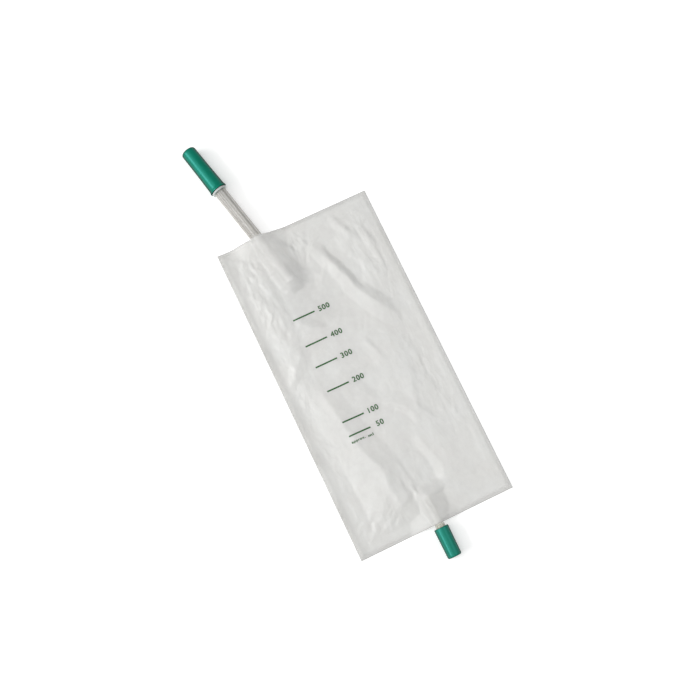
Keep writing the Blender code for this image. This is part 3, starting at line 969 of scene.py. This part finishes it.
# folds of the front film in mm, from the lower end up: points, height, foot distance on the left
# and on the right (one number, or one for each end), and how soft the foot is
frontFolds = [
    (
        [(52, 16), (43, 27), (34, 38), (26, 49), (21.5, 60), (19, 70), (15.5, 80), (10, 91), (4, 104)],
        (1.5, 2.2),
        (12, 6.5),
        (9, 6),
        1.05,
    ),
    ([(31, 48), (27, 60), (25, 70), (21, 84), (14, 101)], (-1.0, -2.1), 6, 11, 1.2),
    (
        [(-12, -118), (-16, -102), (-19, -84), (-21, -66), (-26, -50), (-31, -34), (-32, 0), (-33, 16)],
        (4.5, 1.3),
        (29, 9),
        (19, 11),
        1.05,
    ),
    ([(-43, -114), (-42.5, -80), (-43, -48)], -0.25, 7, 3, 1.2),
    ([(-33, 22), (-34, 50), (-35, 84), (-38, 114)], 0.7, 17, (5, 4), 1.1),
    ([(-56, 9), (-44, 20), (-30, 33)], 0.9, 5, 6, 1.2),
    ([(-8, 37), (-18, 43), (-31, 54)], 0.9, 10, 6, 1.3),
    ([(-1, -116), (-2, -100), (-4, -84), (-9, -66)], 0.6, 4, 12, 1.2),
    ([(9, -106), (15, -86), (12, -68), (4, -52)], -1.0, 13, 6, 1.2),
    ([(22, -54), (20, -42), (13, -32), (2, -27)], 0.8, 4, 8, 1.2),
    ([(36, -58), (24, -42), (28, -22), (34, -8)], 0.45, 7, 4, 1.3),
    ([(16, -2), (15, 8), (10, 24)], 0.6, 7, 4, 1.3),
    ([(8, -22), (-2, -10), (-6, 4)], -0.6, 7, 9, 1.4),
    ([(41, -104), (41, -30), (40, 34)], 0.32, 7, 4, 1.2),
    ([(57.5, 14), (57.5, 60), (55, 96)], 1.0, 5, 2, 1.2),
    ([(42, -120), (43, -60), (43, 0), (45, 60)], (-1.5, -0.9), 16, 17, 1.1),
    ([(-42, -20), (-43, 40), (-42, 96)], 0.8, 17, 12, 1.1),
    ([(50, -110), (30, -98), (12, -89)], 0.7, 12, 10, 1.3),
    ([(38, 88), (33, 102), (26, 116)], 0.65, 7, 4, 1.2),
    ([(-12, 84), (-9, 96), (-10, 112)], 0.6, 4, 5, 1.3),
    ([(49, 58), (47, 76), (46, 98)], 0.5, 4, 3, 1.3),
    ([(30, 60), (34, 74), (32, 92)], -0.5, 8, 8, 1.4),
    ([(52, -70), (44, -52), (46, -30)], 0.5, 8, 5, 1.4),
    ([(-14, 60), (-8, 72), (0, 80)], -0.5, 9, 9, 1.4),
]

# creases that run on over the tubes, in the same form
tentFolds = [
    ([(-28, 84), (-27, 99.7), (-29.3, 112), (-31.5, 121)], 0.85, 3.5, 1.2, 1.0),
    ([(-16.5, 94), (-18.5, 104), (-21, 117)], 0.5, 1.5, 5, 1.0),
    ([(-12, 82), (-14, 92), (-16, 100)], 0.4, 2, 5, 1.0),
    ([(1, -122), (-1.5, -108), (-4, -97), (-6.5, -86)], 0.75, 2.2, 1.5, 1.0),
]

# the film over each tube: the tube's height at the bag's edge and its slope, the arc's radius, where
# the tube ends inside the bag, and how steeply the film falls on the left and on the right; past that
# end it sinks over the far length while its sides open out
tentSizes = {
    "inlet": {"height": 6.06, "slope": 0.0147, "radius": 5.05, "end": -38, "steep": (62, 40)},
    "outlet": {"height": outletAxis["height"], "slope": 0, "radius": 4.05, "end": -20, "steep": (56, 34)},
    "farLength": 15,
    "farWiden": 0.16,
}

# where short sharp creases gather: centre, reach, how many, how high, their usual direction
creasePatches = [
    ((-45, 88), (7, 24), 150, 0.32, 78),
    ((-8, 106), (10, 10), 46, 0.38, 62),
    ((46, 84), (11, 26), 54, 0.30, 85),
    ((-34, -106), (18, 9), 40, 0.24, 50),
    ((44, -20), (12, 36), 36, 0.20, 75),
    ((-50, 0), (6, 60), 44, 0.22, 85),
    ((6, -96), (14, 18), 36, 0.14, 95),
    ((0, 0), (50, 100), 110, 0.14, 60),
]


def smoothLine(points, rounds=3):
    line = np.array(points, float)
    for _ in range(rounds):
        near, far = 0.75 * line[:-1] + 0.25 * line[1:], 0.25 * line[:-1] + 0.75 * line[1:]
        middle = np.empty((2 * len(near), 2))
        middle[0::2], middle[1::2] = near, far
        line = np.vstack([line[:1], middle, line[-1:]])
    return line


def foldHeights(x, y, points, height, left, right, foot):
    line = smoothLine(points)
    lengths = np.hypot(*np.diff(line, axis=0).T)
    before = np.concatenate([[0], np.cumsum(lengths)])
    nearest = np.full(x.shape, 1e9)
    side = np.zeros(x.shape)
    place = np.zeros(x.shape)
    for i, (start, end) in enumerate(zip(line, line[1:])):
        run = end - start
        share = np.clip(((x - start[0]) * run[0] + (y - start[1]) * run[1]) / (run @ run), 0, 1)
        dx, dy = x - start[0] - share * run[0], y - start[1] - share * run[1]
        away = np.hypot(dx, dy)
        closer = away < nearest
        nearest = np.where(closer, away, nearest)
        side = np.where(closer, run[0] * dy - run[1] * dx, side)
        place = np.where(closer, (before[i] + share * lengths[i]) / before[-1], place)
    height, left, right = (
        v[0] + (v[1] - v[0]) * place if isinstance(v, tuple) else v for v in (height, left, right)
    )
    width = np.where(side > 0, left, right)
    ends = np.clip(np.minimum(place, 1 - place) / 0.25, 0, 1)
    ends = ends * ends * (3 - 2 * ends)
    return height * ends * np.clip(1 - nearest / width, 0, 1) ** foot


def creaseHeights(x, y):
    # short straight creases, each a thin ridge or groove that fades out at its ends
    draw = np.random.default_rng(film["creaseSeed"])
    total = np.zeros(x.shape)
    for centre, reach, count, height, direction in creasePatches:
        for _ in range(count):
            cx, cy = draw.normal(centre, reach)
            angle = math.radians(draw.normal(direction, film["creaseSpread"]))
            length, width = draw.uniform(*film["creaseLength"]), draw.uniform(*film["creaseWidth"])
            rise = height * draw.uniform(0.4, 1.0) * draw.choice((-1, 1))
            along = ((x - cx) * math.cos(angle) + (y - cy) * math.sin(angle)) / length
            across = abs((y - cy) * math.cos(angle) - (x - cx) * math.sin(angle)) / width
            total += rise * np.exp(-2.5 * along**2) * np.clip(1 - across, 0, 1)
    return total


def soften(grid, cells):
    # blurs a grid of heights with a bell of that many cells
    reach = int(3 * cells) + 1
    bell = np.exp(-0.5 * (np.arange(-reach, reach + 1) / cells) ** 2)
    bell /= bell.sum()
    for axis in (0, 1):
        padded = np.pad(grid, [(reach, reach) if a == axis else (0, 0) for a in (0, 1)], mode="edge")
        grid = np.apply_along_axis(lambda line: np.convolve(line, bell, mode="valid"), axis, padded)
    return grid


def meshTree(mesh):
    corners = [v.co.copy() for v in mesh.vertices]
    return BVHTree.FromPolygons(corners, [tuple(p.vertices) for p in mesh.polygons])


def cadTree(node):
    return meshTree(cadNodes[node].data)


def heightsFrom(node, x, y, fromAbove=True):
    # heights in mm where straight lines meet a CAD node, and nan where they miss it
    tree = cadTree(node)
    start, way = (0.1, Vector((0, 0, -1))) if fromAbove else (-0.1, Vector((0, 0, 1)))
    found = np.full(x.shape, np.nan)
    for index in np.ndindex(x.shape):
        hit = tree.ray_cast(Vector((x[index] * mm, y[index] * mm, start)), way)[0]
        if hit is not None:
            found[index] = hit.z / mm
    return found


def waves(x, y, size, seed, stretch):
    # long soft waves, about from -1 to 1
    found = np.empty(x.shape)
    for index in np.ndindex(x.shape):
        at = Vector((x[index] / size, y[index] / size * stretch, seed * 7.3))
        found[index] = noise.fractal(at, 1.0, 2.0, 2)
    return found


def tentOver(x, y, edge, way, s):
    # the film's height where it lies over a tube and falls away beside it and past its inner end
    along = (x - edge[0]) * way[0] + (y - edge[1]) * way[1]
    across = abs((x - edge[0]) * way[1] - (y - edge[1]) * way[0])
    past = np.clip(s["end"] - along, 0, None)
    shrink = np.clip(1 - past / tentSizes["farLength"], 0, 1)
    shrink = shrink * shrink * (3 - 2 * shrink)
    angle = np.radians(np.where(x > edge[0] + along * way[0], s["steep"][1], s["steep"][0]))
    leaves = s["radius"] * np.sin(angle)  # how far from the tube's crown the film leaves it
    top = np.sqrt(np.clip(s["radius"] ** 2 - np.minimum(across, leaves) ** 2, 0, None))
    fall = np.clip(across - leaves, 0, None) * np.tan(angle) / (1 + past * tentSizes["farWiden"])
    height = s["height"] + s["slope"] * along + top - fall
    return height * shrink - (1 - shrink) * 2


def tentHeights(x, y):
    lean = math.radians(inletAxis["lean"])
    inletWay = (-math.sin(lean), math.cos(lean))
    return np.fmax(
        tentOver(x, y, inletAxis["edge"], inletWay, tentSizes["inlet"]),
        tentOver(x, y, outletAxis["edge"], (0, -1), tentSizes["outlet"]),
    )


def foldedFilm(x, y, fromEdge, free):
    # the front film where no tube lifts it: a low pillow with folds, waves and creases
    rise = 1.0
    for spare in (film["halfWidth"] - abs(x), film["halfLength"] - abs(y)):
        rise = rise * np.sin(np.clip((spare - film["flatEdge"]) / film["riseReach"], 0, 1) * math.pi / 2)
    front = 0.6 + 0.04 * np.clip(fromEdge, 0, 8) + film["billow"] * rise
    # the folds wander a little from their drawn lines, and swell and fade along them
    foldX = x + film["wander"] * waves(x, y, 20, 2, 1) + 0.5 * waves(x, y, 7, 3, 1)
    foldY = y + film["wander"] * waves(x, y, 20, 4, 1) + 0.5 * waves(x, y, 7, 5, 1)
    swell = 1 + film["swell"] * waves(x, y, 17, 6, 1)
    for fold in frontFolds:
        front += film["foldRise"] * free * swell * foldHeights(foldX, foldY, *fold)
    longWaves, shortWaves = film["waves"]
    front += free * (longWaves * waves(x, y, 34, 1, 0.5) + shortWaves * waves(foldX, foldY, 13, 7, 0.7))
    front += film["creaseRise"] * free * creaseHeights(x, y)
    # a bead that the sealing bar squeezed out along the weld's inner edge, strong in places
    bead = np.exp(-(((fromEdge - film["seam"] - 0.9) / 0.7) ** 2))
    return front + film["bead"] * bead * np.clip(0.15 + 1.5 * waves(x, y, 11, 8, 1), 0, 1)


def filmMarks(x, y, fromEdge, welded, free, lifted):
    # what the material reads: the weld, painted shade along the left edge and just inside the weld, the tubes
    # and the crinkled places
    left = np.clip(1 - (x + film["halfWidth"] - 1) / 9, 0, 1)
    around = np.clip(1 - (fromEdge - 0.5) / 2.5, 0, 1)
    crinkled = np.full(x.shape, 0.15)
    for centre, reach, _, height, _ in creasePatches[:-1]:
        apart = ((x - centre[0]) / reach[0]) ** 2 + ((y - centre[1]) / reach[1]) ** 2
        crinkled += 1.8 * height * np.exp(-0.5 * apart)
    return {
        "weld": welded,
        # painted shade: strong along the left edge, weaker just inside the weld, patchy along its length
        "paintedEdgeShade": np.fmax(0.9 * left, 0.5 * around) * np.clip(0.75 + 0.6 * waves(x, y, 15, 10, 0.6), 0, 1),
        "cling": np.clip((lifted - 1.0) / 6, 0, 1),
        "crinkled": np.clip(crinkled, 0, 1) * free,
    }


def keepSheet(name, bm, material, node, thickness):
    piece = keepMesh(name, bm, material, "bag", [node])
    wall = piece.modifiers.new("wall", "SOLIDIFY")
    wall.thickness = thickness * mm
    wall.offset = 1


def keepFilm(name, x, y, heights, marks, material, node):
    countX, countY = film["cellsAcross"], film["cellsAlong"]
    bm = bmesh.new()
    bmesh.ops.create_grid(bm, x_segments=countX, y_segments=countY, size=1.0)
    layers = {key: bm.verts.layers.float.new(key) for key in marks}
    for corner in bm.verts:
        i, j = round((corner.co.y + 1) / 2 * countY), round((corner.co.x + 1) / 2 * countX)
        for key, layer in layers.items():
            corner[layer] = marks[key][i, j]
        corner.co = Vector((x[i, j], y[i, j], heights[i, j])) * mm
    keepSheet(name, bm, material, node, film["thickness"])


def makeFilms():
    wide, long = film["halfWidth"], film["halfLength"]
    countX, countY = film["cellsAcross"], film["cellsAlong"]
    x, y = np.meshgrid(np.linspace(-wide, wide, countX + 1), np.linspace(-long, long, countY + 1))
    cell = 2 * wide / countX
    inside = 0.2  # just inside the outline, where the lines meet the solids
    px, py = np.clip(x, inside - wide, wide - inside), np.clip(y, inside - long, long - inside)

    backLow = heightsFrom("back_film", px, py, fromAbove=False)
    backHigh = heightsFrom("back_film", px, py)
    leafTop = np.nan_to_num(heightsFrom("valve_front_leaf", px, py), nan=0)
    tubeTop = np.fmax(heightsFrom("inlet_tube", px, py), heightsFrom("outlet_tube", px, py))
    tubeTop = np.nan_to_num(tubeTop, nan=0)

    fromEdge = np.minimum(wide - abs(x), long - abs(y))
    welded = np.clip((film["seam"] - fromEdge) / film["seamFade"] + 0.5, 0, 1)
    free = np.clip((fromEdge - film["seam"]) / 9, 0, 1)
    free = free * free * (3 - 2 * free)

    # front film: it hangs over the tubes, and is pressed on the back film in the weld
    front = foldedFilm(x, y, fromEdge, free)
    tents = tentHeights(x, y)
    front = np.logaddexp(front / film["tentBlend"], tents / film["tentBlend"]) * film["tentBlend"]
    for fold in tentFolds:
        front += film["foldRise"] * free * foldHeights(x, y, *fold)
    pressed = backHigh + film["touch"]
    overTube = np.clip((tents - pressed) / 0.6, 0, 1)
    flat = welded * (1 - overTube)
    front = front * (1 - flat) + pressed * flat
    clearance = film["clearance"]
    clearOf = np.fmax(pressed, np.fmax(tubeTop, leafTop) + clearance)
    eased = np.logaddexp(front / clearance, clearOf / clearance) * clearance
    front = soften(np.where(flat > 0.5, front, eased), film["softness"] / cell)
    front = np.fmax(front, clearOf)

    # back film: lies on the table, with shallow waves of its own
    back = np.fmax(np.fmin(soften(backLow, 1.2 / cell), backLow), 0)
    lift = free * film["backLift"] * (1 + waves(x, y, 26, 5, 0.5))
    room = np.fmax(front - 0.1 - film["thickness"] - back, 0)
    hidden = (leafTop > 0) | (tubeTop > 0)
    back += np.where(hidden, 0, np.fmin(lift, 0.5 * room))
    front = np.fmax(front, back + film["thickness"] + film["touch"] + 0.10 * (1 - welded))

    # the left edge curls up a little, both films together
    curl = film["curl"] * np.clip((-50.5 - x) / 9.5, 0, 1) ** 1.6 * (1 + 0.4 * waves(x, y, 40, 9, 1))
    marks = filmMarks(x, y, fromEdge, welded, free, np.fmax(tents, leafTop))
    keepFilm("backFilm", x, y, back + curl, marks, filmBackMaterial, "back_film")
    keepFilm("frontFilm", x, y, front + curl, marks, filmFrontMaterial, "front_film")


makeFilms()
print("films made")


# valve leaves, welded together along their long sides

leafSizes = {
    "width": 26.0,
    "firstAlong": -82.0,
    "lastAlong": -28.0,
    "thickness": 0.15,
    "step": 1.0,
    "inset": 0.1,
}


def makeLeaf(name, node):
    # a thin strip of film that hangs from the tube's inner end; its grid ends just inside the solid's outline
    s = leafSizes
    lean = math.radians(inletAxis["lean"])
    tree = cadTree(node)
    length = s["lastAlong"] - s["firstAlong"]
    middle = (s["firstAlong"] + s["lastAlong"]) / 2
    bm = bmesh.new()
    across, along = round(s["width"] / s["step"]), round(length / s["step"])
    bmesh.ops.create_grid(bm, x_segments=across, y_segments=along, size=0.5)
    for corner in bm.verts:
        u = corner.co.x * (s["width"] - 2 * s["inset"])
        v = middle + corner.co.y * (length - 2 * s["inset"])
        x = inletAxis["edge"][0] + u * math.cos(lean) - v * math.sin(lean)
        y = inletAxis["edge"][1] + u * math.sin(lean) + v * math.cos(lean)
        corner.co = tree.ray_cast(Vector((x, y, -100)) * mm, Vector((0, 0, 1)))[0]
    keepSheet(name, bm, leafMaterial, node, s["thickness"])


makeLeaf("valveBackLeaf", "valve_back_leaf")
makeLeaf("valveFrontLeaf", "valve_front_leaf")
print("valve leaves made")


# printed scale

scalePrint = {
    "left": -30.2,
    "barLength": 17.2,
    "barWidth": 1.12,
    "marks": ((54.4, "500"), (33.2, "400"), (16.2, "300"), (-3.3, "200"), (-28.3, "100"), (-39.4, "50")),
    "numbersMiddle": -5.5,
    "numberHeight": 4.2,
    "numberRaise": 0.2,
    "caption": (("approx.", -30.4, -19.5), ("ml", -17.5, -13.2)),
    "captionFoot": -45.6,
    "captionHeight": 2.0,
    "numberBold": 0.17,
    "captionBold": 0.13,
    "lift": 0.03,
    "cell": 0.8,
}


def textMesh(words, heightMm, boldMm):
    curve = bpy.data.curves.new("words", "FONT")
    curve.body = words
    curve.space_character = 1.12
    curve.resolution_u = 3
    holder = bpy.data.objects.new("words", curve)
    bpy.context.scene.collection.objects.link(holder)
    graph = bpy.context.evaluated_depsgraph_get()
    mesh = bpy.data.meshes.new_from_object(holder.evaluated_get(graph))
    bpy.data.objects.remove(holder)
    bm = bmesh.new()
    bm.from_mesh(mesh)
    bpy.data.meshes.remove(mesh)
    tops = [v.co.y for v in bm.verts]
    bmesh.ops.scale(bm, vec=Vector((1, 1, 1)) * heightMm * mm / (max(tops) - min(tops)), verts=bm.verts[:])
    bmesh.ops.remove_doubles(bm, verts=bm.verts[:], dist=1e-7)
    makeBold(bm, boldMm)
    return bm


def makeBold(bm, boldMm):
    # pushes a rim out from the letters' outlines, holes included
    outline = [e for e in bm.edges if e.is_boundary]
    push = {}
    for edge in outline:
        a, b = edge.verts
        out = (b.co - a.co).cross(Vector((0, 0, 1))).normalized()
        if out.dot(edge.link_faces[0].calc_center_median() - a.co) > 0:
            out = -out
        for corner in (a, b):
            push.setdefault(tuple(corner.co), Vector())
            push[tuple(corner.co)] += out
    made = bmesh.ops.extrude_edge_only(bm, edges=outline)
    for corner in made["geom"]:
        if isinstance(corner, bmesh.types.BMVert):
            out = push[tuple(corner.co)]
            corner.co += out.normalized() * boldMm * mm


def bounds2d(bm):
    xs, ys = [v.co.x for v in bm.verts], [v.co.y for v in bm.verts]
    return min(xs), max(xs), min(ys), max(ys)


def layOnFilm(part, tree):
    # cuts a flat print into small cells and drops its corners on the film
    left, right, bottom, top = bounds2d(part)
    cell = scalePrint["cell"] * mm
    for axis, low, high in ((0, left, right), (1, bottom, top)):
        for i in range(1, int((high - low) / cell) + 1):
            at, normal = Vector(), Vector()
            at[axis], normal[axis] = low + i * cell, 1
            bmesh.ops.bisect_plane(
                part, geom=[*part.verts, *part.edges, *part.faces], dist=1e-8, plane_co=at, plane_no=normal
            )
    bmesh.ops.triangulate(part, faces=part.faces[:])
    for corner in part.verts:
        hit = tree.ray_cast(Vector((corner.co.x, corner.co.y, 0.1)), Vector((0, 0, -1)))[0]
        corner.co.z = hit.z + scalePrint["lift"] * mm


def makePrint():
    s = scalePrint
    parts = []
    for y, words in s["marks"]:
        bar = bmesh.new()
        bmesh.ops.create_grid(bar, x_segments=24, y_segments=1, size=0.5)
        bmesh.ops.scale(bar, vec=(s["barLength"] * mm, s["barWidth"] * mm, 1), verts=bar.verts[:])
        bmesh.ops.translate(bar, vec=((s["left"] + s["barLength"] / 2) * mm, y * mm, 0), verts=bar.verts[:])
        parts.append(bar)
        number = textMesh(words, s["numberHeight"] - 2 * s["numberBold"], s["numberBold"])
        left, right, bottom, top = bounds2d(number)
        shiftX = s["numbersMiddle"] * mm - (left + right) / 2
        shiftY = (y + s["numberRaise"]) * mm - (bottom + top) / 2
        bmesh.ops.translate(number, vec=(shiftX, shiftY, 0), verts=number.verts[:])
        parts.append(number)
    for words, first, last in s["caption"]:
        caption = textMesh(words, s["captionHeight"] - 2 * s["captionBold"], s["captionBold"])
        left, right, bottom, _ = bounds2d(caption)
        bmesh.ops.translate(caption, vec=(-left, s["captionFoot"] * mm - bottom, 0), verts=caption.verts[:])
        bmesh.ops.scale(caption, vec=((last - first) * mm / (right - left), 1, 1), verts=caption.verts[:])
        bmesh.ops.translate(caption, vec=(first * mm, 0, 0), verts=caption.verts[:])
        parts.append(caption)

    surface = bpy.data.objects["frontFilm"].evaluated_get(bpy.context.evaluated_depsgraph_get())
    tree = meshTree(surface.data)
    whole = bmesh.new()
    for part in parts:
        layOnFilm(part, tree)
        mesh = bpy.data.meshes.new("part")
        part.to_mesh(mesh)
        part.free()
        whole.from_mesh(mesh)
        bpy.data.meshes.remove(mesh)
    for face in whole.faces:
        face.normal_update()
        if face.normal.z < 0:
            face.normal_flip()
    keepMesh("scalePrint", whole, inkMaterial, "bag")


makePrint()
print("scale printed")
